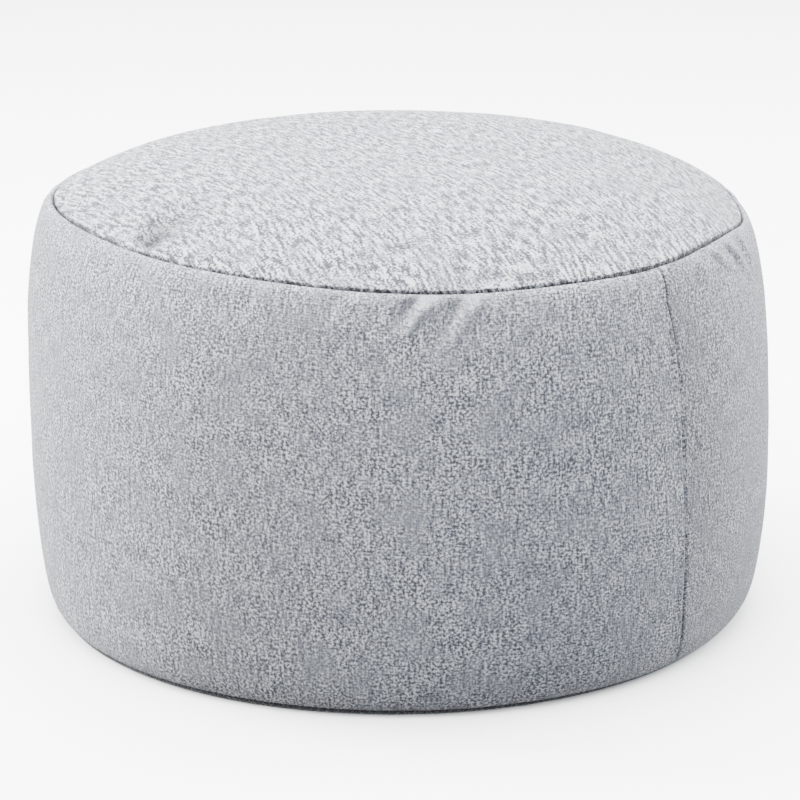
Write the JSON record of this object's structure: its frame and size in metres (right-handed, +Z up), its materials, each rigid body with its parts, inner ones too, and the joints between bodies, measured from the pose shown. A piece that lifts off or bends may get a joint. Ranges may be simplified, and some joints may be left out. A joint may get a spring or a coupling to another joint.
{
  "type": "round drum pouf",
  "caption": "Round drum pouf in pale grey cloth: a crowned top panel sewn to a bulging, filled side band, flat underneath.",
  "frame": {"origin": "centre of the base where the pouf stands, at floor level", "axes": "+Z up through the crown, -Y towards the side the picture shows, +X to the picture's right"},
  "size_m": [0.4982, 0.5019, 0.3117],
  "materials": {
    "cover_cloth": "pale cool grey upholstery cloth, woven from light and darker yarns, with a soft matt face"
  },
  "bodies": {
    "root": {"top_panel": "cover_cloth", "side_band": "cover_cloth", "base_panel": "cover_cloth"}
  },
  "joints": []
}
